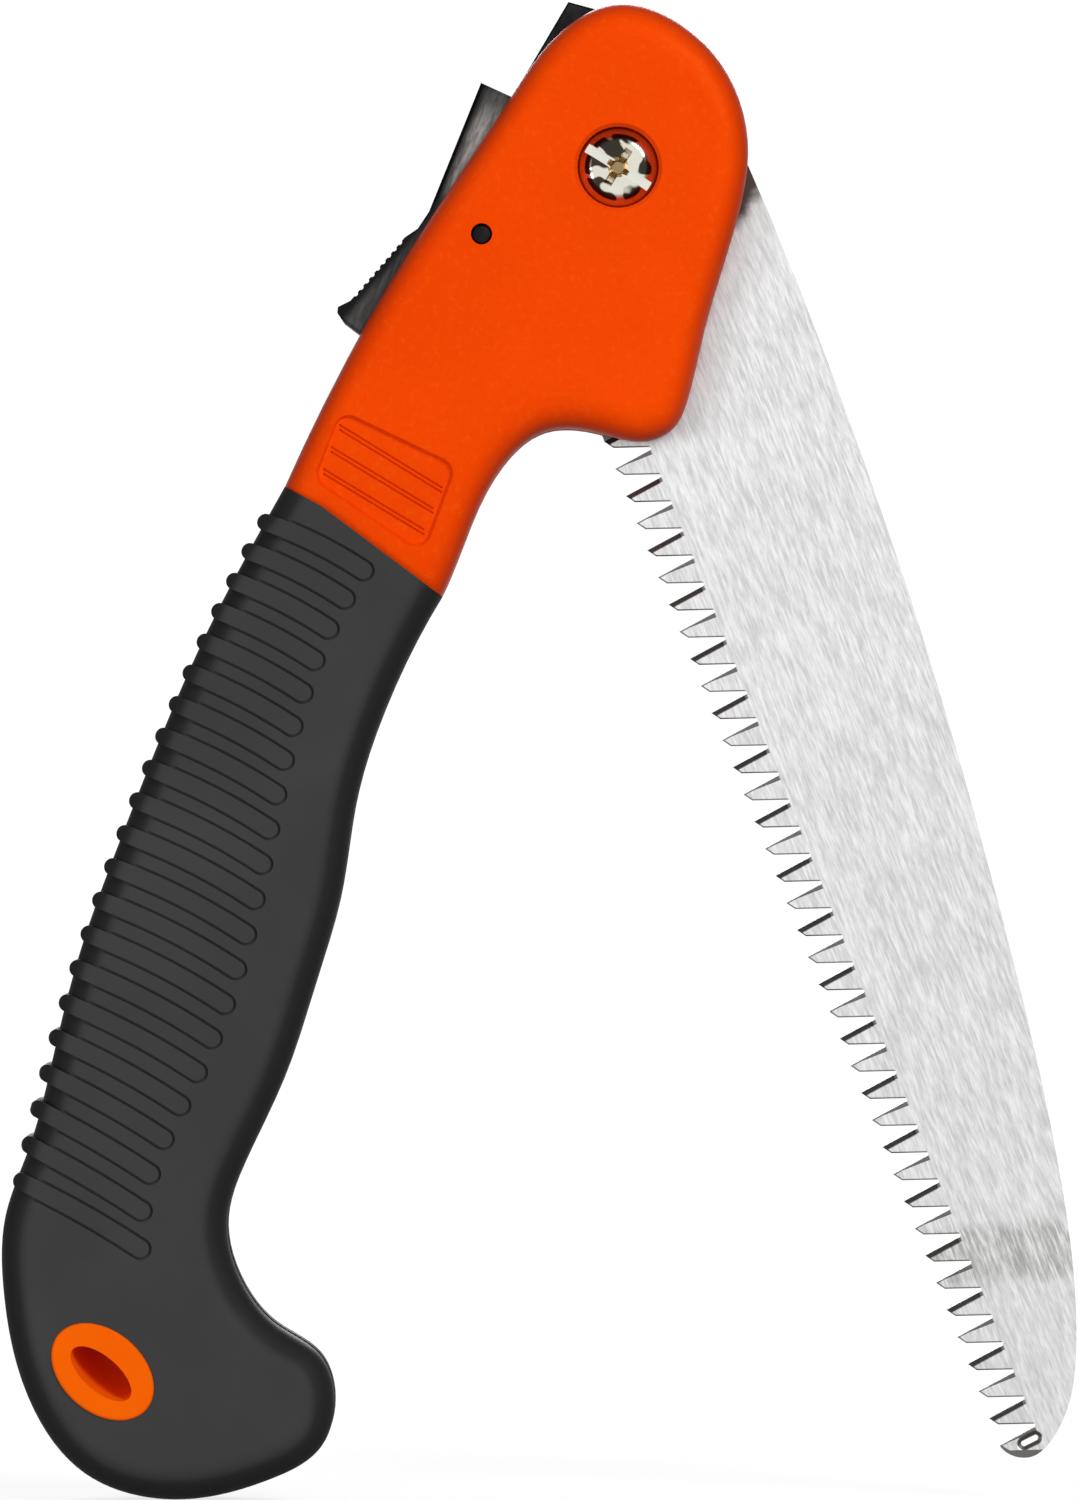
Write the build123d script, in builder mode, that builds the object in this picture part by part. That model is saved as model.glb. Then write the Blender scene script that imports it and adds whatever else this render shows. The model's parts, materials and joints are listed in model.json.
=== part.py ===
from build123d import *
from math import cos, radians, sin, tan
import os

os.makedirs("parts", exist_ok=True)

# Folding pruning saw, standing upright with the blade half out of its handle.
# X runs across the saw, Z up, Y through its thickness; the screw head faces -Y
# and the blade lies in the plane Y = 0. The origin is below the middle, at the
# level of the butt. All lengths are in millimetres.

# overall layout
PIVOT = (11.4, 0, 193.3)
BLADE_ANGLE = -68.5

# handle
HEAD_HALF = 10.0
HEAD_ROUNDING = 4.6
GRIP_HALF = 11.5
CORE_HALF = 7.5
SLOT_HALF = 1.9
SEAM_BACK = (-48.4, -46.3)
SEAM_KINK = (-43.1, -49.1)
SEAM_BELLY = (-25.6, -62.2)
RIB_COUNT = 21
RIB_WIDTH = 2.5
RIB_PROUD = 0.25
EYE_CENTRE = (-74.8, -174.7)
EYE_ANGLE = -40.7
EYE_LEAN = 13.0
EYE_BORE = (5.4, 2.5)
EYE_TUBE = (6.2, 3.3)
EYE_FLANGE = (8.4, 5.9)

# blade
BLADE_THICK = 1.2
TOOTH_COUNT = 38
TOOTH_PITCH = 4.247
TOOTH_DEPTH = 6.0
TOOTH_LINE = -16.3
FIRST_TIP = 36.15
RIM_RADIUS = 17.2

# pivot
SLEEVE_DIA = 6.0
SCREW_DIA = 4.0
SCREW_HEAD_DIA = 11.7
SCREW_WELL_DIA = 11.8
SCREW_WELL_DEPTH = 4.4
NUT_FLATS = 7.0
RUNNING_FIT = 0.05
WASHER_THICK = 0.4
LINER_THICK = 0.8

# locking lever
LEVER_PIN = (-19.8, -9.7)
LEVER_PIN_DIA = 3.0
LEVER_HALF = 4.4
POCKET_HALF = 4.8
BOSS_RADIUS = 4.0
LATCH_HALF = 0.9
SERRATION_COUNT = 9

SIDE = Plane(origin=PIVOT, x_dir=(1, 0, 0), z_dir=(0, -1, 0))
BLADE = Plane(
    origin=PIVOT, z_dir=(0, -1, 0),
    x_dir=(cos(radians(BLADE_ANGLE)), 0, sin(radians(BLADE_ANGLE))),
)


def polar(radius, angle):
    """Point at a radius and an angle in degrees round the pivot."""
    return (radius * cos(radians(angle)), radius * sin(radians(angle)))


def slot_outline():
    """Blade slot: swings clear of the tang and of the folded tooth line."""
    with BuildSketch(SIDE) as sketch:
        with BuildLine():
            Polyline(
                (-4, 40), (-24, 16), (-19.4, -4), (-19.5, -14), (-25.5, -26),
                (-29.6, -36), (-50, -107.2), (-68.2, -170.4), (-70.4, -180),
                (-71.4, -185), (-66.5, -188.6), (-58, -187), (-30, -178),
                (60, -178), (60, 40), close=True,
            )
        make_face()
    return sketch.sketch


def grip_outline(back_points):
    """Outline of the soft grip, closed along the seam with the head."""
    with BuildSketch(SIDE) as sketch:
        with BuildLine():
            Spline(
                SEAM_BELLY, (-33.8, -78.5), (-38.1, -92.2), (-40.2, -105.2),
                (-43.9, -118.2), (-48.6, -132.3), (-54.2, -144.4),
                (-56.8, -152.8), (-54.6, -162.0), (-49.6, -168.1),
                (-43.4, -172.4), (-41.2, -178.4), (-43.2, -185.8),
                (-50.3, -190.3), (-64.6, -193.3), (-77.4, -189.5),
                (-85.3, -179.2), (-89.2, -163.0), *back_points,
            )
            Polyline(back_points[-1], SEAM_KINK, SEAM_BELLY)
        make_face()
    return sketch.sketch


def tail_outline():
    """Outline of the rigid tail, some 3.5 mm inside that of the grip."""
    with BuildSketch(SIDE) as sketch:
        with BuildLine():
            Spline(
                (-28.0, -57.0), (-37.0, -78.5), (-41.6, -92.5), (-43.8, -105.8),
                (-51.9, -133.7), (-58.0, -145.5), (-60.0, -154.0), (-57.6, -163.5),
                (-51.5, -171.0), (-46.0, -175.0), (-44.5, -178.8), (-46.3, -183.6),
                (-51.8, -187.0), (-64.6, -189.6), (-75.5, -186.6), (-82.3, -177.6),
                (-85.9, -163.0), (-81.5, -143.2), (-69.5, -102.2), (-61.6, -82.2),
                (-46.0, -48.0),
            )
            Line((-46.0, -48.0), (-28.0, -57.0))
        make_face()
    return sketch.sketch


def eye_outline(radii, depth):
    """Ellipse of the lanyard eye at a depth; the eye leans as it goes through."""
    drift = (GRIP_HALF - depth) * tan(radians(EYE_LEAN))
    centre = (
        EYE_CENTRE[0] - drift * sin(radians(EYE_ANGLE)),
        EYE_CENTRE[1] + drift * cos(radians(EYE_ANGLE)),
        0,
    )
    with BuildSketch(SIDE.offset(depth)) as sketch:
        with Locations(Location(centre, EYE_ANGLE)):
            Ellipse(*radii)
    return sketch.sketch


def leaning_prism(radii, half):
    """Elliptical prism that follows the lean of the eye, to both sides of the middle."""
    lean = radians(EYE_LEAN)
    aside = SIDE.y_dir * cos(radians(EYE_ANGLE)) - SIDE.x_dir * sin(radians(EYE_ANGLE))
    with BuildPart() as prism:
        extrude(
            eye_outline(radii, half), amount=2 * half / cos(lean),
            dir=aside * sin(lean) - SIDE.z_dir * cos(lean),
        )
    return prism.part


def rib_outlines(width):
    """Oblong ribs that curve from the face of the grip over its back edge."""
    ends = Spline(
        (-36.9, -58.5), (-47.2, -81.1), (-52.9, -107.1), (-61.2, -131.5),
        (-67.7, -145.5), (-69.2, -156.7),
    )
    crest = Spline((-51.1, -51.5), (-61.9, -73.3), (-71.5, -96.6), (-79.8, -120.9), (-86.5, -147.0))
    with BuildSketch(SIDE) as sketch:
        for i in range(RIB_COUNT):
            step = i / (RIB_COUNT - 1)
            t = step * (0.94 + 0.06 * step)
            start = ends @ t
            with BuildLine(mode=Mode.PRIVATE) as path:
                TangentArc(start, crest @ t, tangent=(-0.83, 0.55))
            SlotArc(path.edge(), width)
    return sketch.sketch


GRIP_BACK = [
    (-88.9, -152.0), (-85.6, -142.5), (-81.9, -128.5), (-77.8, -112.8),
    (-72.8, -98.9), (-67.0, -84.1), (-59.5, -67.0), (-54.0, -56.4), SEAM_BACK,
]
GRIP_CREST = [
    (-89.4, -152.0), (-88.0, -146.6), (-81.3, -120.5), (-73.0, -96.1),
    (-63.3, -72.7), (-52.5, -50.9), SEAM_BACK,
]


# One-piece moulding: head, lever pocket and the tail that stiffens the grip
with BuildPart() as handle_core:
    with BuildSketch(SIDE):
        with BuildLine():
            Spline(
                SEAM_BACK, (-43.3, -35.4), (-33.1, -16.6), (-15.5, 10.4),
                (-11.5, 16.3), (-6.6, 21.2), (-0.7, 23.8), (9.7, 20.5), (15.9, 13.7),
                (18.9, 3.4), (17.7, -6.0), (12.6, -23.5), (10.1, -33.8),
                (8.2, -37.6), (4.1, -39.6), (-3.0, -38.4), (-11.0, -38.4),
                (-16.4, -42.8), (-20.6, -50.1), SEAM_BELLY,
            )
            Polyline(SEAM_BELLY, SEAM_KINK, SEAM_BACK)
        make_face()
    extrude(amount=HEAD_HALF, both=True)
    rims = edges().filter_by(GeomType.BSPLINE).filter_by(lambda e: abs(e.center().Y) > 9)
    fillet(rims, radius=HEAD_ROUNDING)
    extrude(tail_outline(), amount=CORE_HALF, both=True)
    extrude(slot_outline(), amount=SLOT_HALF, both=True, mode=Mode.SUBTRACT)
    # pocket for the locking lever, open at the back edge
    with BuildSketch(SIDE):
        with BuildLine():
            Polyline(
                (-20, 17), (-10.8, 11.4), (-10.2, 8.8), (-13.6, 2.0),
                (-14.8, -6.0), (-15.2, -13.2), (-19.6, -27.6), (-30.2, -31.2),
                (-41, -26.6), (-50, -15), close=True,
            )
        make_face()
    extrude(amount=POCKET_HALF, both=True, mode=Mode.SUBTRACT)
    # recessed thumb panel on both faces, three pairs of grooves in its floor
    for side in (1, -1):
        with BuildSketch(SIDE.offset(side * HEAD_HALF)) as panel:
            with BuildLine():
                Polyline((-40.5, -35.0), (-23.3, -43.2), (-28.2, -56.4), (-44.4, -45.3), close=True)
            make_face()
            fillet(panel.vertices(), radius=2.4)
        extrude(amount=-side * 0.7, taper=35, mode=Mode.SUBTRACT)
        with BuildSketch(SIDE.offset(side * (HEAD_HALF - 0.7))):
            for start, end in (
                ((-40.3, -37.4), (-25.6, -46.4)),
                ((-41.5, -40.6), (-26.9, -49.4)),
                ((-42.6, -43.8), (-28.2, -52.5)),
            ):
                for apart in (0, 0.7):
                    with BuildLine(mode=Mode.PRIVATE) as groove:
                        Line((start[0], start[1] - apart), (end[0], end[1] - apart))
                    SlotArc(groove.edge(), 0.3)
        extrude(amount=-side * 0.35, mode=Mode.SUBTRACT)
    # pivot bore, screw well on the near face, hexagonal nut well on the far face
    with BuildSketch(SIDE):
        Circle(SCREW_DIA / 2 + 0.1)
        with Locations(LEVER_PIN):
            Circle(LEVER_PIN_DIA / 2 + RUNNING_FIT)
    extrude(amount=HEAD_HALF + 1, both=True, mode=Mode.SUBTRACT)
    with BuildSketch(SIDE.offset(HEAD_HALF)):
        Circle(SCREW_WELL_DIA / 2)
    extrude(amount=-SCREW_WELL_DEPTH, mode=Mode.SUBTRACT)
    well_rim = edges(Select.LAST).filter_by(GeomType.CIRCLE).sort_by(Axis.Y)[0]
    chamfer(well_rim, length=0.5)
    with BuildSketch(SIDE.offset(-HEAD_HALF)):
        RegularPolygon(NUT_FLATS / 2 + 0.15, 6, major_radius=False)
    extrude(amount=SCREW_WELL_DEPTH, mode=Mode.SUBTRACT)
    add(leaning_prism(EYE_TUBE, CORE_HALF + 1), mode=Mode.SUBTRACT)
handle_core.part.label = "handle_core"
export_step(handle_core.part, "parts/handle_core.step")


# Ribs as they stand proud of the grip, cut from a slightly larger grip
with BuildPart() as rib_band:
    extrude(grip_outline(GRIP_CREST), amount=GRIP_HALF + RIB_PROUD, both=True)
    rims = edges().filter_by(GeomType.BSPLINE).filter_by(lambda e: abs(e.center().Y) > 9)
    fillet(rims, radius=5.0)
    extrude(rib_outlines(RIB_WIDTH), amount=GRIP_HALF + 1, both=True, mode=Mode.INTERSECT)


# Soft grip moulded over the tail, each rib outlined by a fine groove
with BuildPart() as grip_overmould:
    extrude(grip_outline(GRIP_BACK), amount=GRIP_HALF, both=True)
    rims = edges().filter_by(GeomType.BSPLINE).filter_by(lambda e: abs(e.center().Y) > 9)
    fillet(rims, radius=5.0)
    for side in (1, -1):
        extrude(
            Location((0, -side * (GRIP_HALF - 0.35), 0)) * rib_outlines(RIB_WIDTH + 0.8),
            amount=side * 2, mode=Mode.SUBTRACT,
        )
    add(rib_band.part)
    extrude(tail_outline(), amount=CORE_HALF, both=True, mode=Mode.SUBTRACT)
    extrude(slot_outline(), amount=SLOT_HALF, both=True, mode=Mode.SUBTRACT)
    add(leaning_prism(EYE_TUBE, GRIP_HALF + 1), mode=Mode.SUBTRACT)
    for side in (1, -1):
        extrude(
            eye_outline(EYE_FLANGE, side * (GRIP_HALF - 1.0)),
            amount=side * 2, mode=Mode.SUBTRACT,
        )
grip_overmould.part.label = "grip_overmould"
export_step(grip_overmould.part, "parts/grip_overmould.step")


# Flanged oval tube that leans through the butt, for a lanyard
with BuildPart() as lanyard_eyelet:
    add(leaning_prism(EYE_TUBE, GRIP_HALF))
    for side in (1, -1):
        extrude(eye_outline(EYE_FLANGE, side * (GRIP_HALF - 1.0)), amount=side * 1.5)
    rims = edges().filter_by(lambda e: abs(e.center().Y) > GRIP_HALF + 0.45)
    fillet(rims, radius=0.45)
    add(leaning_prism(EYE_BORE, GRIP_HALF + 1), mode=Mode.SUBTRACT)
lanyard_eyelet.part.label = "lanyard_eyelet"
export_step(lanyard_eyelet.part, "parts/lanyard_eyelet.step")


def flank_cut(side, heel):
    """Bevels ground on one flank of every second tooth, on one face of the blade."""
    first = 1 if side > 0 else 0
    reach = 0.8 if heel else 0.5
    top = side * BLADE_THICK / 2
    plane = Plane(
        origin=BLADE.from_local_coords((0, TOOTH_LINE, 0)),
        x_dir=BLADE.x_dir, z_dir=-BLADE.y_dir,
    )
    with BuildSketch(plane) as sketch:
        for i in range(first, TOOTH_COUNT, 2):
            tip = FIRST_TIP + i * TOOTH_PITCH
            run = reach if heel else -reach
            start = tip - 0.05 if heel else tip + 1.25
            Polygon((start, -top), (start + run, -top), (start, -top * 0.2), align=None)
    return sketch.sketch


# Steel blade: gently curved back, one row of raked teeth, tang with two notches
with BuildPart() as saw_blade:
    with BuildSketch(BLADE):
        with BuildLine():
            Spline(
                (6.4, 17.9), (26.7, 18.3), (46.2, 18.0), (73.9, 16.8),
                (113.2, 13.2), (156.2, 7.0), (183.3, -0.4), (190.9, -4.4),
                (195.4, -9.2), (196.5, -12.5), (195.6, -14.8), (193.5, TOOTH_LINE),
            )
            Polyline(
                (193.5, TOOTH_LINE), (33.5, TOOTH_LINE), (26.5, -15.6),
                (20.5, -11.4), (13.0, -11.4), polar(RIM_RADIUS, -50),
            )
            CenterArc((0, 0), RIM_RADIUS, 80, 230)
            Line(polar(RIM_RADIUS, 80), (6.4, 17.9))
        make_face()
        # gullets between the teeth
        for i in range(TOOTH_COUNT - 1):
            with Locations((FIRST_TIP + i * TOOTH_PITCH, TOOTH_LINE)):
                Polygon(
                    (0, 0), (1.3, 0.9), (3.1, TOOTH_DEPTH - 0.2), (3.35, TOOTH_DEPTH),
                    (3.55, TOOTH_DEPTH - 0.2), (TOOTH_PITCH, 0), (TOOTH_PITCH, -1), (0, -1),
                    align=None, mode=Mode.SUBTRACT,
                )
        Circle(SLEEVE_DIA / 2 + RUNNING_FIT, mode=Mode.SUBTRACT)
        # lock notches: open at the top of the tang, folded at the bottom
        with Locations((-2.0, 15.6), (-3.6, -16.2)):
            RectangleRounded(4.4, 5.0, 0.6, mode=Mode.SUBTRACT)
        # oval hole near the tip
        with Locations(Location((194.2, -12.0, 0), 95)):
            SlotCenterToCenter(1.9, 0.8, mode=Mode.SUBTRACT)
    extrude(amount=BLADE_THICK / 2, both=True)
    # dished rim round the oval hole
    for side in (1, -1):
        with BuildSketch(BLADE.offset(side * BLADE_THICK / 2)):
            with Locations(Location((194.2, -12.0, 0), 95)):
                SlotCenterToCenter(1.9, 2.1)
        extrude(amount=-side * 0.3, taper=60, mode=Mode.SUBTRACT)
    heel_way = BLADE.x_dir * -0.7 + BLADE.y_dir * 5.8
    toe_way = BLADE.x_dir * 2.0 + BLADE.y_dir * 4.9
    for side in (1, -1):
        extrude(flank_cut(side, True), amount=5.4, dir=heel_way.normalized(), mode=Mode.SUBTRACT)
        extrude(flank_cut(side, False), amount=5.4, dir=toe_way.normalized(), mode=Mode.SUBTRACT)
saw_blade.part.label = "saw_blade"
export_step(saw_blade.part, "parts/saw_blade.step")


# Dark steel liner on each side of the tang; its square corner shows behind the head
def make_liner(side):
    with BuildPart() as liner:
        base = BLADE_THICK / 2 + WASHER_THICK
        with BuildSketch(SIDE.offset(side * base)) as outline:
            with BuildLine():
                Polyline(
                    polar(11, -60), (11.5, 6.0), (10.5, 14.0), (2.0, 21.9),
                    (-7.2, 24.4), (-14.4, 12.2), (-10.2, 9.2), polar(11, 170),
                )
                ThreePointArc(polar(11, 170), polar(11, 235), polar(11, -60))
            make_face()
            Circle(SLEEVE_DIA / 2 + 0.02, mode=Mode.SUBTRACT)
        extrude(amount=side * LINER_THICK)
        outer = faces().sort_by(Axis.Y)[0 if side > 0 else -1]
        chamfer(outer.outer_wire().edges(), length=0.25)
    return liner.part


liner_near = make_liner(1)
liner_near.label = "liner_near"
export_step(liner_near, "parts/liner_near.step")

liner_far = make_liner(-1)
liner_far.label = "liner_far"
export_step(liner_far, "parts/liner_far.step")


# Washers that space the blade from the liners
def make_washer(side):
    with BuildPart() as washer:
        with BuildSketch(SIDE.offset(side * BLADE_THICK / 2)):
            Circle(7.5)
            Circle(SLEEVE_DIA / 2 + 0.02, mode=Mode.SUBTRACT)
        extrude(amount=side * WASHER_THICK)
    return washer.part


washer_near = make_washer(1)
washer_near.label = "washer_near"
export_step(washer_near, "parts/washer_near.step")

washer_far = make_washer(-1)
washer_far.label = "washer_far"
export_step(washer_far, "parts/washer_far.step")


# Steel sleeve the blade turns on, clamped between the cheeks by the screw
with BuildPart() as pivot_sleeve:
    with BuildSketch(SIDE):
        Circle(SLEEVE_DIA / 2)
        Circle(SCREW_DIA / 2 + 0.05, mode=Mode.SUBTRACT)
    extrude(amount=SLOT_HALF, both=True)
pivot_sleeve.part.label = "pivot_sleeve"
export_step(pivot_sleeve.part, "parts/pivot_sleeve.step")


# Domed spring washer under the screw head
WELL_FLOOR = HEAD_HALF - SCREW_WELL_DEPTH
with BuildPart() as spring_washer:
    with BuildSketch(SIDE.offset(WELL_FLOOR)) as ring:
        Circle(5.4)
        Circle(SCREW_DIA / 2 + 0.15, mode=Mode.SUBTRACT)
    extrude(amount=0.8)
    chamfer(faces().sort_by(Axis.Y)[0].outer_wire().edges(), length=0.5, length2=0.3)
spring_washer.part.label = "spring_washer"
export_step(spring_washer.part, "parts/spring_washer.step")


# Cone-sided screw with a slot right across the head and a Phillips recess
HEAD_SEAT = WELL_FLOOR + 0.8
SCREW_HEAD_HEIGHT = 3.0
with BuildPart() as pivot_screw:
    with BuildSketch(SIDE.offset(HEAD_SEAT)):
        Circle(SCREW_HEAD_DIA / 2)
    extrude(amount=SCREW_HEAD_HEIGHT)
    crown = faces().sort_by(Axis.Y)[0].outer_wire().edges()
    chamfer(crown, length=1.7)
    crown = faces().sort_by(Axis.Y)[0].outer_wire().edges()
    fillet(crown, radius=1.2)
    with BuildSketch(SIDE.offset(HEAD_SEAT)):
        Circle(SCREW_DIA / 2)
    extrude(amount=-(HEAD_SEAT + HEAD_HALF - 1.0))
    chamfer(faces().sort_by(Axis.Y)[-1].edges(), length=0.4)
    with BuildSketch(SIDE.offset(HEAD_SEAT + SCREW_HEAD_HEIGHT)):
        with Locations(Location((0, 0, 0), -32)):
            Rectangle(SCREW_HEAD_DIA + 2, 1.4)
    extrude(amount=-1.2, mode=Mode.SUBTRACT)
    with BuildSketch(SIDE.offset(HEAD_SEAT + SCREW_HEAD_HEIGHT)):
        with Locations(Location((0, 0, 0), -32)):
            Rectangle(5.4, 1.2)
            Rectangle(1.2, 6.0)
            Circle(1.5)
    extrude(amount=-2.3, taper=16, mode=Mode.SUBTRACT)
pivot_screw.part.label = "pivot_screw"
export_step(pivot_screw.part, "parts/pivot_screw.step")


# Hexagonal nut held in its well in the far cheek
with BuildPart() as pivot_nut:
    with BuildSketch(SIDE.offset(-WELL_FLOOR)):
        RegularPolygon(NUT_FLATS / 2, 6, major_radius=False)
    extrude(amount=-3.2)
    with BuildSketch(SIDE.offset(-WELL_FLOOR)):
        Circle(NUT_FLATS / 2 - 0.05)
    extrude(amount=-3.2, taper=-55, mode=Mode.INTERSECT)
    with BuildSketch(SIDE.offset(-WELL_FLOOR)):
        Circle(SCREW_DIA / 2)
    extrude(amount=-3.2, mode=Mode.SUBTRACT)
pivot_nut.part.label = "pivot_nut"
export_step(pivot_nut.part, "parts/pivot_nut.step")


# Pin across the cheeks that the lever rocks on
with BuildPart() as lever_pin:
    with BuildSketch(SIDE):
        with Locations(LEVER_PIN):
            Circle(LEVER_PIN_DIA / 2)
    extrude(amount=HEAD_HALF - 1.6, both=True)
    chamfer(edges().filter_by(GeomType.CIRCLE), length=0.3)
lever_pin.part.label = "lever_pin"
export_step(lever_pin.part, "parts/lever_pin.step")


COIL = Plane(
    origin=SIDE.from_local_coords((*LEVER_PIN, -3.9)),
    x_dir=(0.757, 0, -0.653), z_dir=(0, -1, 0),
)


def tooth_outline():
    """Latch tooth let into the nose of the lever, just proud of its inner face."""
    with BuildSketch(SIDE) as sketch:
        Polygon(
            polar(17.7, 147.5), polar(17.7, 158.5), polar(21.4, 157), polar(21.4, 149),
            align=None,
        )
    return sketch.sketch


# Locking lever: nose that reaches the tang, boss on the pin, serrated thumb pad
PIN_INNER = polar(18.05, 206.1)
with BuildPart() as lock_lever:
    with BuildSketch(SIDE) as rocker:
        with BuildLine():
            ThreePointArc(polar(18.05, 145.6), polar(18.05, 176), PIN_INNER)
            RadiusArc(PIN_INNER, (-17.0, -12.5), -BOSS_RADIUS)
            Polyline(
                (-17.0, -12.5), (-34.8, -26.2), (-39.8, -22.4), (-40.8, -20.9),
                (-40.7, -20.1), (-38.9, -19.2), (-31.0, -10.0), (-29.1, -8.7),
                (-27.5, -6.3), (-19.9, 12.5), polar(18.05, 145.6),
            )
        make_face()
        # serrations along the pad
        for i in range(SERRATION_COUNT):
            t = (i + 0.5) / SERRATION_COUNT
            with Locations((-31.4 - 7.2 * t, -10.2 - 8.4 * t)):
                Circle(0.42, mode=Mode.SUBTRACT)
        with Locations(LEVER_PIN):
            Circle(LEVER_PIN_DIA / 2 + RUNNING_FIT, mode=Mode.SUBTRACT)
    extrude(amount=LEVER_HALF, both=True)
    long_edges = edges().filter_by(GeomType.LINE).filter_by(lambda e: 5 < e.length < 21)
    chamfer(long_edges.filter_by(lambda e: abs(e.center().Y) > 4), length=0.5)
    # hollow at the far face for the coil of the return spring and its legs
    with BuildSketch(SIDE.offset(-LEVER_HALF)):
        with Locations(LEVER_PIN):
            Circle(3.5)
        Polygon((-20.4, -12.6), (-17.0, -12.0), (-24.2, -20.6), (-26.9, -21.2), align=None)
        Polygon((-22.5, -7.4), (-28.9, -14.9), (-27.0, -16.5), (-20.6, -9.0), align=None)
    extrude(amount=3.2, mode=Mode.SUBTRACT)
    extrude(tooth_outline(), amount=LATCH_HALF, both=True, mode=Mode.SUBTRACT)
lock_lever.part.label = "lock_lever"
export_step(lock_lever.part, "parts/lock_lever.step")


# Steel tooth set in the nose, which drops into the notches of the tang
with BuildPart() as latch_tooth:
    extrude(tooth_outline(), amount=LATCH_HALF, both=True)
latch_tooth.part.label = "latch_tooth"
export_step(latch_tooth.part, "parts/latch_tooth.step")


# Torsion spring round the lever pin, drawn wound up as when the pad is pressed
WIRE = 0.7
COIL_RADIUS = 2.5
COIL_HEIGHT = 2.3
with BuildPart() as coil_spring:
    with BuildLine() as coil:
        Helix(pitch=0.76, height=COIL_HEIGHT, radius=COIL_RADIUS)
    with BuildSketch(Plane(origin=coil.line @ 0, z_dir=coil.line % 0)):
        Circle(WIRE / 2)
    sweep(path=coil.line, is_frenet=True)
    # one leg along the lever, one bent down to the handle
    with BuildSketch(Plane.XZ):
        with Locations((COIL_RADIUS, 0), (-COIL_RADIUS, COIL_HEIGHT)):
            Circle(WIRE / 2)
    extrude(amount=9.0)
    with BuildSketch(Plane.YZ.offset(COIL_RADIUS)):
        with Locations((-9.0, 0)):
            Circle(WIRE / 2)
    extrude(amount=4.5)
    with Locations((COIL_RADIUS, -9.0, 0)):
        Sphere(WIRE / 2)
lever_spring = coil_spring.part.moved(COIL.location)
lever_spring.label = "lever_spring"
export_step(lever_spring, "parts/lever_spring.step")
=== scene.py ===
import json
import math
import bpy
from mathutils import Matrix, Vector

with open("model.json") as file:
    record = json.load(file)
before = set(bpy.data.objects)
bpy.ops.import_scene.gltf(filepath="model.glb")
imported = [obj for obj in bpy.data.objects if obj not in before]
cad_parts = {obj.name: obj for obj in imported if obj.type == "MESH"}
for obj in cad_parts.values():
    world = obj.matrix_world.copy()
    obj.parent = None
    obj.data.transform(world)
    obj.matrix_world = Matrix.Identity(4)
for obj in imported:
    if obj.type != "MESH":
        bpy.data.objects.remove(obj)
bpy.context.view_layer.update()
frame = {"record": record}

# the blade as it stands, in metres: its pivot, its direction and the way to its back
JOINTS = {joint["name"]: joint for joint in frame["record"]["behaviour"]["joints"]}
PIVOT = tuple(JOINTS["blade_hinge"]["pos_m"])
BLADE_TILT = math.radians(-68.5)
ALONG = (math.cos(BLADE_TILT), 0, math.sin(BLADE_TILT))
TO_BACK = (-math.sin(BLADE_TILT), 0, math.cos(BLADE_TILT))

# the row of teeth, and the corners of one tooth measured from its tip
TOOTH_LINE = -0.0163
FIRST_TIP = 0.03615
TOOTH_PITCH = 0.004247
TIP = (0.0, 0.0)
NOSE_END = (0.0013, 0.0009)
TOE_ROOT = (0.0031, 0.0058)
HEEL_ROOT = (0.00355, 0.0058)

# faces of the saw, as distances from its middle plane
BLADE_FACE = 0.0006
HEAD_FACE = 0.0100
GRIP_FACE = 0.0115

# painted shade of the head on the tang: how far its middle lies over the pivot, and where its edge
# fades
TANG_SHADE_RISE = 0.008
TANG_SHADE_EDGE = (0.0238, 0.0262)

# heights between which the darker band of the blade and the painted sheen of the lever come and go
BAND_START = (0.024, 0.027)
BAND_END = (0.032, 0.035)
SHEEN_START = (0.184, 0.193)
SHEEN_END = (0.1985, 0.2035)

# the screw head along Y: from its crown to the slot with its painted highlight, and from the slot to
# the recess with its painted shade
SLOT_STEP = (-0.0088, -0.0086)
RECESS_STEP = (-0.0081, -0.0079)

# outer edges of the lever: the way inwards and the distance of the edge from the origin
NOSE_EDGE = ((0.927, 0, -0.375), -0.0851)
PAD_EDGE = ((0.759, 0, -0.651), -0.1342)

# tints of the highlights
PLAIN = (1.0, 1.0, 1.0, 1.0)
WARM = (1.0, 0.32, 0.03, 1.0)


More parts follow.
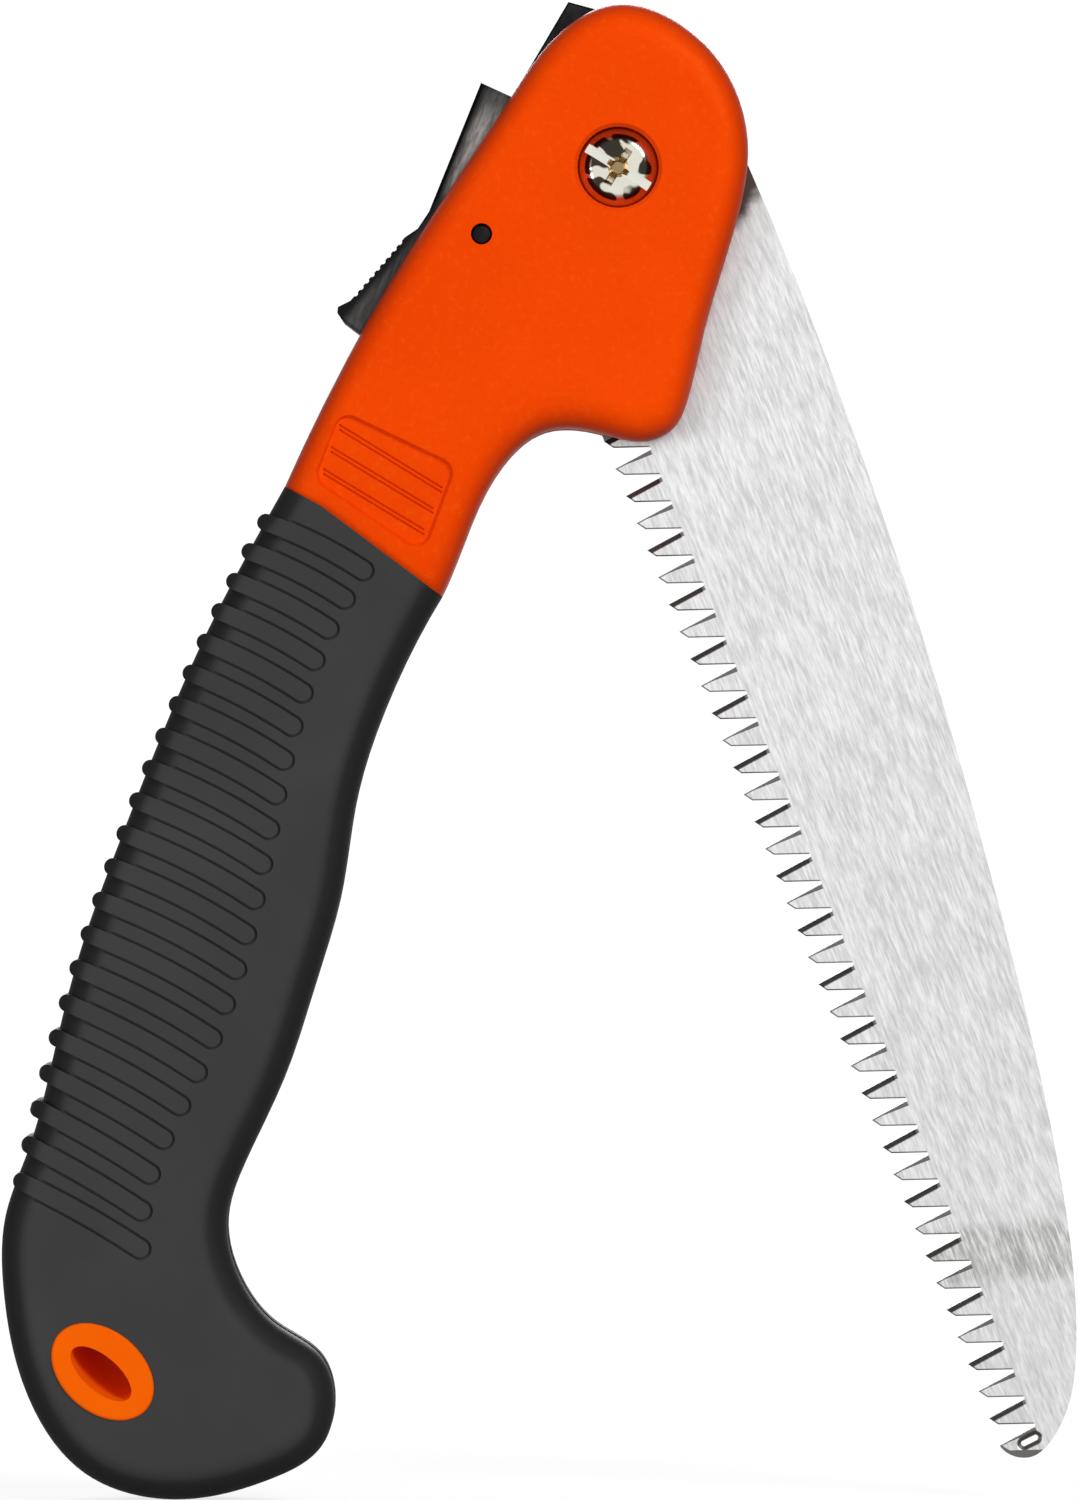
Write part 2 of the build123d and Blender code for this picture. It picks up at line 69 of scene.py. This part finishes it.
class Shader:
    """A node material built up by small helper calls."""

    def __init__(self, name, **constants):
        self.mat = bpy.data.materials.new(name)
        self.mat.use_nodes = True
        self.tree = self.mat.node_tree
        self.bsdf = self.tree.nodes["Principled BSDF"]
        self.coords = self.node("ShaderNodeTexCoord").outputs["Object"]
        for key, value in constants.items():
            self.bsdf.inputs[key.replace("_", " ")].default_value = value

    def node(self, kind, **settings):
        made = self.tree.nodes.new(kind)
        for key, value in settings.items():
            setattr(made, key, value)
        return made

    def link(self, out, into):
        self.tree.links.new(out, into)

    def mapped(self, scale, turn=0.0, vector=None):
        m = self.node("ShaderNodeMapping")
        m.inputs["Scale"].default_value = scale
        if turn:
            r = self.node("ShaderNodeVectorRotate", rotation_type="Y_AXIS")
            r.inputs["Angle"].default_value = turn
            self.link(vector or self.coords, r.inputs["Vector"])
            vector = r.outputs[0]
        self.link(vector or self.coords, m.inputs["Vector"])
        return m.outputs[0]

    def noise(self, scale, vector=None, detail=3.0, rough=0.5, distortion=0.0):
        n = self.node("ShaderNodeTexNoise")
        n.inputs["Scale"].default_value = scale
        n.inputs["Detail"].default_value = detail
        n.inputs["Roughness"].default_value = rough
        n.inputs["Distortion"].default_value = distortion
        self.link(vector or self.coords, n.inputs["Vector"])
        return n.outputs["Fac"]

    def math(self, op, a, b=None):
        n = self.node("ShaderNodeMath", operation=op)
        for i, value in enumerate((a, b)):
            if value is None:
                continue
            if isinstance(value, (int, float)):
                n.inputs[i].default_value = value
            else:
                self.link(value, n.inputs[i])
        return n.outputs[0]

    def spread(self, fac, low, high, out_low=0.0, out_high=1.0, smooth=False):
        n = self.node("ShaderNodeMapRange")
        n.interpolation_type = "SMOOTHSTEP" if smooth else "LINEAR"
        ends = {"From Min": low, "From Max": high, "To Min": out_low, "To Max": out_high}
        for key, value in ends.items():
            n.inputs[key].default_value = value
        self.link(fac, n.inputs["Value"])
        return n.outputs["Result"]

    def mix(self, fac, a, b):
        n = self.node("ShaderNodeMix", data_type="RGBA")
        for socket, value in ((n.inputs[0], fac), (n.inputs[6], a), (n.inputs[7], b)):
            if isinstance(value, (int, float)):
                socket.default_value = value
            elif isinstance(value, tuple):
                socket.default_value = (*value, 1.0)
            else:
                self.link(value, socket)
        return n.outputs[2]

    def axis(self, name):
        """One coordinate of the point."""
        split = self.node("ShaderNodeSeparateXYZ")
        self.link(self.coords, split.inputs[0])
        return split.outputs[name]

    def depth(self):
        """Distance from the middle plane of the saw."""
        return self.math("ABSOLUTE", self.axis("Y"))

    def reach(self, way):
        """How far the point lies in a direction."""
        dot = self.node("ShaderNodeVectorMath", operation="DOT_PRODUCT")
        self.link(self.coords, dot.inputs[0])
        dot.inputs[1].default_value = way
        return dot.outputs["Value"]

    def length(self, vector):
        size = self.node("ShaderNodeVectorMath", operation="LENGTH")
        self.link(vector, size.inputs[0])
        return size.outputs["Value"]

    def colour(self, out):
        self.link(out, self.bsdf.inputs["Base Color"])

    def roughness(self, out):
        self.link(out, self.bsdf.inputs["Roughness"])

    def bump(self, height, strength, distance):
        n = self.node("ShaderNodeBump")
        n.inputs["Strength"].default_value = strength
        n.inputs["Distance"].default_value = distance
        self.link(height, n.inputs["Height"])
        self.link(n.outputs[0], self.bsdf.inputs["Normal"])


def moulded(name, base, shade, rough, *, grain=0.00002, fleck=None, glint=PLAIN, side_shade=None, spec=0.25):
    """Moulded plastic: faint mottling, a fine grain, and painted shade that darkens the rounded edges
    and hollows towards the middle plane.
    """
    s = Shader(name, Specular_IOR_Level=spec, Specular_Tint=glint)
    mottle = s.spread(s.noise(45.0, detail=4.0), 0.35, 0.65)
    tone = s.mix(mottle, base, shade)
    if fleck:
        grain_fac = s.spread(s.noise(900.0, detail=3.0, rough=0.7), 0.52, 0.75)
        tone = s.mix(s.math("MULTIPLY", grain_fac, 0.5), tone, fleck)
    if side_shade:
        inner, outer, side_shade_colour = side_shade
        # painted shade: the colour darkens towards the middle plane, on rounded edges and in hollows
        tone = s.mix(s.spread(s.depth(), inner, outer, 1.0, 0.0, smooth=True), tone, side_shade_colour)
    s.colour(tone)
    s.roughness(s.spread(s.noise(120.0, detail=5.0), 0.3, 0.7, rough - 0.05, rough + 0.06))
    s.bump(s.noise(2600.0, detail=2.0), 0.35, grain)
    return s.mat


def from_tang_shade(s):
    """Distance in the plane of the saw from the middle of the painted shade on the tang."""
    away = s.node("ShaderNodeVectorMath", operation="SUBTRACT")
    s.link(s.coords, away.inputs[0])
    away.inputs[1].default_value = (PIVOT[0], PIVOT[1], PIVOT[2] + TANG_SHADE_RISE)
    flat = s.node("ShaderNodeVectorMath", operation="MULTIPLY")
    s.link(away.outputs[0], flat.inputs[0])
    flat.inputs[1].default_value = (1, 0, 1)
    return s.length(flat.outputs[0])


def from_pivot(s, way):
    """How far the point lies beyond the pivot in a direction."""
    home = sum(a * b for a, b in zip(way, PIVOT))
    return s.math("SUBTRACT", s.reach(way), home)


def inside_edge(s, along, up, start, end):
    """Distance of a point of a tooth from the edge between two of its corners."""
    run = [b - a for a, b in zip(start, end)]
    across, rise = run[1] / math.hypot(*run), run[0] / math.hypot(*run)
    gap = s.math("ADD", s.math("MULTIPLY", along, -across), s.math("MULTIPLY", up, rise))
    return s.math("ADD", gap, across * start[0] - rise * start[1])


def tooth_bevel_shade(s):
    """Narrow line of painted shade along the edges of the teeth, where the ground bevels are."""
    along = s.math("SUBTRACT", from_pivot(s, ALONG), FIRST_TIP)
    up = s.math("SUBTRACT", from_pivot(s, TO_BACK), TOOTH_LINE)
    step = s.math("MODULO", along, TOOTH_PITCH)
    lean = (TOOTH_PITCH - HEEL_ROOT[0]) / HEEL_ROOT[1]
    heel = s.math("MODULO", s.math("ADD", along, s.math("MULTIPLY", up, lean)), TOOTH_PITCH)
    toe = inside_edge(s, step, up, NOSE_END, TOE_ROOT)
    nose = inside_edge(s, step, up, TIP, NOSE_END)
    edge = s.math("MINIMUM", s.math("MINIMUM", heel, toe), nose)
    line = s.spread(edge, 0.00014, 0.00024, 1.0, 0.0)
    low = s.spread(up, TOE_ROOT[1] - 0.0001, TOE_ROOT[1] + 0.0001, 1.0, 0.0)
    return s.math("MULTIPLY", s.math("MULTIPLY", line, low), 0.85)


def ground_steel():
    """Blade steel: short strokes of grinding, a darker band near the tip, and painted shade on the tang
    near the head, along the tooth edges and on the bevels.
    """
    s = Shader("blade_ground_steel", Metallic=1.0, Anisotropic=0.3)
    along = s.mapped((1, 1, 1), BLADE_TILT)
    stroke = s.noise(1.0, s.mapped((330, 700, 3000), vector=along), detail=4.0, rough=0.65)
    cloud = s.noise(1.0, s.mapped((90, 200, 420), vector=along), detail=3.0, rough=0.6)
    both = s.math("ADD", s.math("MULTIPLY", stroke, 0.78), s.math("MULTIPLY", cloud, 0.22))
    tone = s.mix(s.spread(both, 0.38, 0.62), (0.64, 0.64, 0.64), (0.88, 0.88, 0.88))
    # the darker band, with a ragged and slightly tilted border
    height = s.math("ADD", s.axis("Z"), s.math("MULTIPLY", s.noise(300.0), 0.004))
    height = s.math("ADD", height, s.math("MULTIPLY", s.axis("X"), -0.12))
    rise = s.spread(height, *BAND_START, smooth=True)
    fall = s.spread(height, *BAND_END, 1.0, 0.0, smooth=True)
    band = s.math("MULTIPLY", rise, fall)
    band_strength = s.spread(stroke, 0.36, 0.62, 0.72, 0.14)
    tone = s.mix(s.math("MULTIPLY", band, band_strength), tone, (0.36, 0.35, 0.34))
    # painted shade on the tang near the head, and on every surface below the ground faces
    near = s.math("ADD", from_tang_shade(s), s.math("MULTIPLY", s.noise(350.0), 0.003))
    tone = s.mix(s.spread(near, *TANG_SHADE_EDGE, smooth=True), (0.10, 0.075, 0.065), tone)
    # painted shade along the tooth edges
    tone = s.mix(tooth_bevel_shade(s), tone, (0.06, 0.055, 0.05))
    # painted shade on the bevels and edge walls, weaker near the tip
    sunk_shade = s.spread(s.depth(), BLADE_FACE - 0.0001, BLADE_FACE - 0.00002, 1.0, 0.0)
    above_tip = s.spread(s.axis("Z"), 0.0030, 0.0050, 0.25, 1.0)
    s.colour(s.mix(s.math("MULTIPLY", sunk_shade, above_tip), tone, (0.14, 0.13, 0.125)))
    s.roughness(s.spread(stroke, 0.3, 0.7, 0.36, 0.5))
    s.bump(both, 0.25, 0.00002)
    return s.mat


def plain_metal(name, base, shade, rough):
    """Small hardware: two close tones and a faint grain."""
    s = Shader(name, Metallic=1.0)
    s.colour(s.mix(s.spread(s.noise(260.0, detail=4.0), 0.35, 0.65), base, shade))
    s.roughness(s.spread(s.noise(500.0, detail=3.0), 0.3, 0.7, rough - 0.06, rough + 0.08))
    s.bump(s.noise(1800.0), 0.15, 0.00002)
    return s.mat


def screw_plating():
    """Bright plating: painted highlight on the slot floor, dark blotches on the crown, painted shade
    tinted by the orange well in the recess.
    """
    s = Shader("plated_screw", Metallic=1.0)
    depth = s.axis("Y")
    blotch = s.spread(s.noise(300.0, detail=1.0, distortion=0.8), 0.47, 0.51)
    crown = s.mix(blotch, (0.055, 0.045, 0.035), (0.94, 0.91, 0.78))
    # painted highlight on the slot floor
    slot = s.spread(depth, *SLOT_STEP)
    tone = s.mix(slot, crown, (0.99, 0.97, 0.86))
    # painted shade, tinted by the orange well, on the parts down in the recess
    recess = s.spread(depth, *RECESS_STEP)
    tone = s.mix(recess, tone, (0.42, 0.30, 0.15))
    s.colour(tone)
    s.roughness(s.spread(s.noise(500.0, detail=3.0), 0.3, 0.7, 0.14, 0.26))
    s.bump(s.noise(700.0, detail=2.0), 0.2, 0.00006)
    return s.mat


def lever_finish():
    """Black lever with a painted sheen: a lighter face, broken by scratches, that fades back to black
    towards its outer edge.
    """
    s = Shader("lever_black", Specular_IOR_Level=0.15)
    scratch = s.noise(1.0, s.mapped((1500, 300, 300), math.radians(-22)), detail=4.0, rough=0.7)
    insets = [s.math("SUBTRACT", s.reach(way), edge) for way, edge in (NOSE_EDGE, PAD_EDGE)]
    inset = s.math("MAXIMUM", *insets)
    sheen_inset = s.spread(inset, 0.0004, 0.0021, smooth=True)
    nose = s.spread(s.axis("Z"), *SHEEN_START, 0.2, 1.0, smooth=True)
    end = s.spread(s.axis("Z"), *SHEEN_END, 1.0, 0.25, smooth=True)
    sheen_patch = s.math("MULTIPLY", sheen_inset, s.spread(scratch, 0.35, 0.65, 0.4, 1.0))
    sheen_patch = s.math("MULTIPLY", sheen_patch, s.math("MULTIPLY", nose, end))
    # painted sheen: the lighter patch on the black face
    s.colour(s.mix(sheen_patch, (0.002, 0.002, 0.0025), (0.40, 0.385, 0.37)))
    s.roughness(s.spread(scratch, 0.3, 0.7, 0.26, 0.42))
    s.bump(scratch, 0.3, 0.00003)
    return s.mat


# painted shade on each moulding: the depths where it is full and where it ends, and the shaded colour
ORANGE = moulded(
    "orange_moulding", (0.95, 0.064, 0.0008), (0.88, 0.054, 0.0007), 0.42,
    fleck=(0.98, 0.11, 0.005), glint=WARM,
    side_shade=(HEAD_FACE - 0.0032, HEAD_FACE - 0.0001, (0.62, 0.040, 0.0006)))
EYELET = moulded(
    "eyelet_moulding", (1.0, 0.14, 0.002), (0.94, 0.12, 0.002), 0.6, glint=WARM, spec=0.0,
    side_shade=(GRIP_FACE - 0.0035, GRIP_FACE + 0.0003, (0.90, 0.09, 0.003)))
GRIP = moulded(
    "soft_grip_rubber", (0.040, 0.040, 0.040), (0.034, 0.034, 0.035), 0.66, grain=0.00004,
    side_shade=(GRIP_FACE - 0.0008, GRIP_FACE - 0.00003, (0.014, 0.014, 0.0145)))
LEVER = lever_finish()
STEEL = ground_steel()
SCREW = screw_plating()
PLATED = plain_metal("plated_steel", (0.80, 0.76, 0.66), (0.68, 0.62, 0.50), 0.25)
DARK = plain_metal("blackened_steel", (0.018, 0.017, 0.018), (0.045, 0.04, 0.04), 0.34)
WIRE = plain_metal("spring_wire", (0.5, 0.5, 0.5), (0.4, 0.4, 0.4), 0.3)
NYLON = moulded("nylon_washer", (0.7, 0.69, 0.65), (0.62, 0.61, 0.57), 0.5)

FINISH = {
    "handle_core": ORANGE, "grip_overmould": GRIP, "lanyard_eyelet": EYELET,
    "liner_near": DARK, "liner_far": DARK, "washer_near": NYLON, "washer_far": NYLON,
    "pivot_sleeve": PLATED, "spring_washer": PLATED, "pivot_screw": SCREW, "pivot_nut": PLATED,
    "lever_pin": DARK, "saw_blade": STEEL, "lock_lever": LEVER, "latch_tooth": DARK,
    "lever_spring": WIRE,
}
for name, material in FINISH.items():
    mesh = bpy.data.objects[name].data
    mesh.materials.clear()
    mesh.materials.append(material)

# floor: a pale disc just under the saw, that fades into the white surround
FLOOR_RADIUS = 1.2
FLOOR_HEIGHT = -0.0003
FLOOR_FADE = (0.08, 0.28)
bpy.ops.mesh.primitive_circle_add(
    vertices=96, radius=FLOOR_RADIUS, fill_type="NGON", location=(0, 0, FLOOR_HEIGHT))
floor = bpy.context.object
floor.name = "floor"
s = Shader("floor_pale", Roughness=0.7)
s.bsdf.inputs["Base Color"].default_value = (0.9, 0.9, 0.9, 1)
fade = s.spread(s.length(s.coords), *FLOOR_FADE, 0.75, 1.0, smooth=True)
clear = s.node("ShaderNodeBsdfTransparent")
blend = s.node("ShaderNodeMixShader")
s.link(fade, blend.inputs[0])
s.link(s.bsdf.outputs[0], blend.inputs[1])
s.link(clear.outputs[0], blend.inputs[2])
s.link(blend.outputs[0], s.tree.nodes["Material Output"].inputs["Surface"])
floor.data.materials.append(s.mat)

# white surround for the camera; its light is dim at the sides and bright ahead and behind
SHOWN_LEVEL = 1.05
SIDE_LEVEL = 0.14
AHEAD_LEVEL = 0.78
world = bpy.data.worlds.new("studio")
bpy.context.scene.world = world
world.use_nodes = True
tree = world.node_tree
back = tree.nodes["Background"]
back.inputs["Color"].default_value = (1, 1, 1, 1)
path = tree.nodes.new("ShaderNodeLightPath")
facing = tree.nodes.new("ShaderNodeSeparateXYZ")
where = tree.nodes.new("ShaderNodeTexCoord")
tree.links.new(where.outputs["Generated"], facing.inputs[0])
ahead = tree.nodes.new("ShaderNodeMath")
ahead.operation = "ABSOLUTE"
tree.links.new(facing.outputs["Y"], ahead.inputs[0])
glow = tree.nodes.new("ShaderNodeMapRange")
glow_ends = {"From Min": 0.55, "From Max": 0.95, "To Min": SIDE_LEVEL, "To Max": AHEAD_LEVEL}
for key, value in glow_ends.items():
    glow.inputs[key].default_value = value
tree.links.new(ahead.outputs[0], glow.inputs["Value"])
level = tree.nodes.new("ShaderNodeMix")
level.inputs[3].default_value = SHOWN_LEVEL
tree.links.new(path.outputs["Is Camera Ray"], level.inputs[0])
tree.links.new(glow.outputs["Result"], level.inputs[2])
tree.links.new(level.outputs[0], back.inputs["Strength"])

MIDDLE = Vector((0.0, 0.0, 0.11))


def softbox(name, place, size, power):
    """Round soft light turned to the middle of the saw."""
    light = bpy.data.lights.new(name, "AREA")
    light.shape = "DISK"
    light.size = size
    light.energy = power
    obj = bpy.data.objects.new(name, light)
    bpy.context.scene.collection.objects.link(obj)
    obj.location = place
    direction = MIDDLE - Vector(place)
    obj.rotation_euler = direction.to_track_quat("-Z", "Y").to_euler()


softbox("key", (1.2, -1.5, 1.1), 0.9, 22.0)
softbox("fill", (-1.2, -1.6, 0.2), 0.9, 11.0)
softbox("back_key", (0.0, 2.2, 0.9), 1.2, 26.0)

# long lens, level with the middle of the saw and square to the blade
LENS_MM = 296.5
SENSOR_MM = 36.0
VIEW_FROM = (0.0, -1.8, 0.1088)
camera = bpy.data.cameras.new("camera")
camera.lens = LENS_MM
camera.sensor_width = SENSOR_MM
view = bpy.data.objects.new("camera", camera)
bpy.context.scene.collection.objects.link(view)
view.location = VIEW_FROM
view.rotation_euler = (math.radians(90), 0, 0)
bpy.context.scene.camera = view
bpy.context.scene.view_settings.view_transform = "Standard"
